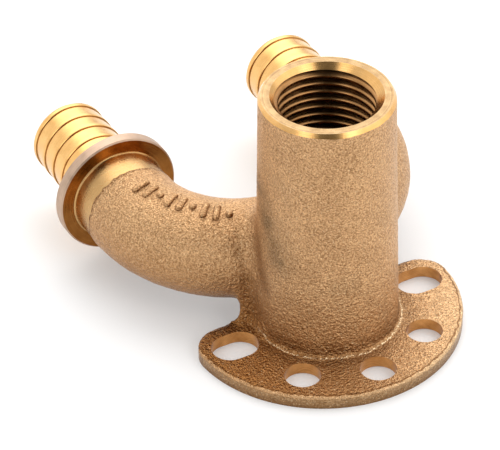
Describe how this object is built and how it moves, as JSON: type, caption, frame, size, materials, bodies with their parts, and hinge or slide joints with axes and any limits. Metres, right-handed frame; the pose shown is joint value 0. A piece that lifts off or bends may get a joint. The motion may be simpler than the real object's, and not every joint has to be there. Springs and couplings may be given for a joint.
{
  "type": "wall plate elbow",
  "caption": "Cast gunmetal wall plate elbow: a tall threaded boss on a D-shaped screw flange, with a U-bent tube behind it ending in collared, ribbed pipe spigots.",
  "frame": {"origin": "on the boss axis, in the plane of the wall face (the flange's flat back)", "axes": "+Z out of the wall along the threaded boss, +Y along both pipe spigots, +X across them"},
  "size_m": [0.0756, 0.0913, 0.0556],
  "materials": {
    "cast_gunmetal": "sand-cast skin, with turned and drilled faces left bright"
  },
  "bodies": {
    "root": {"elbow_body": "cast_gunmetal"}
  },
  "joints": []
}
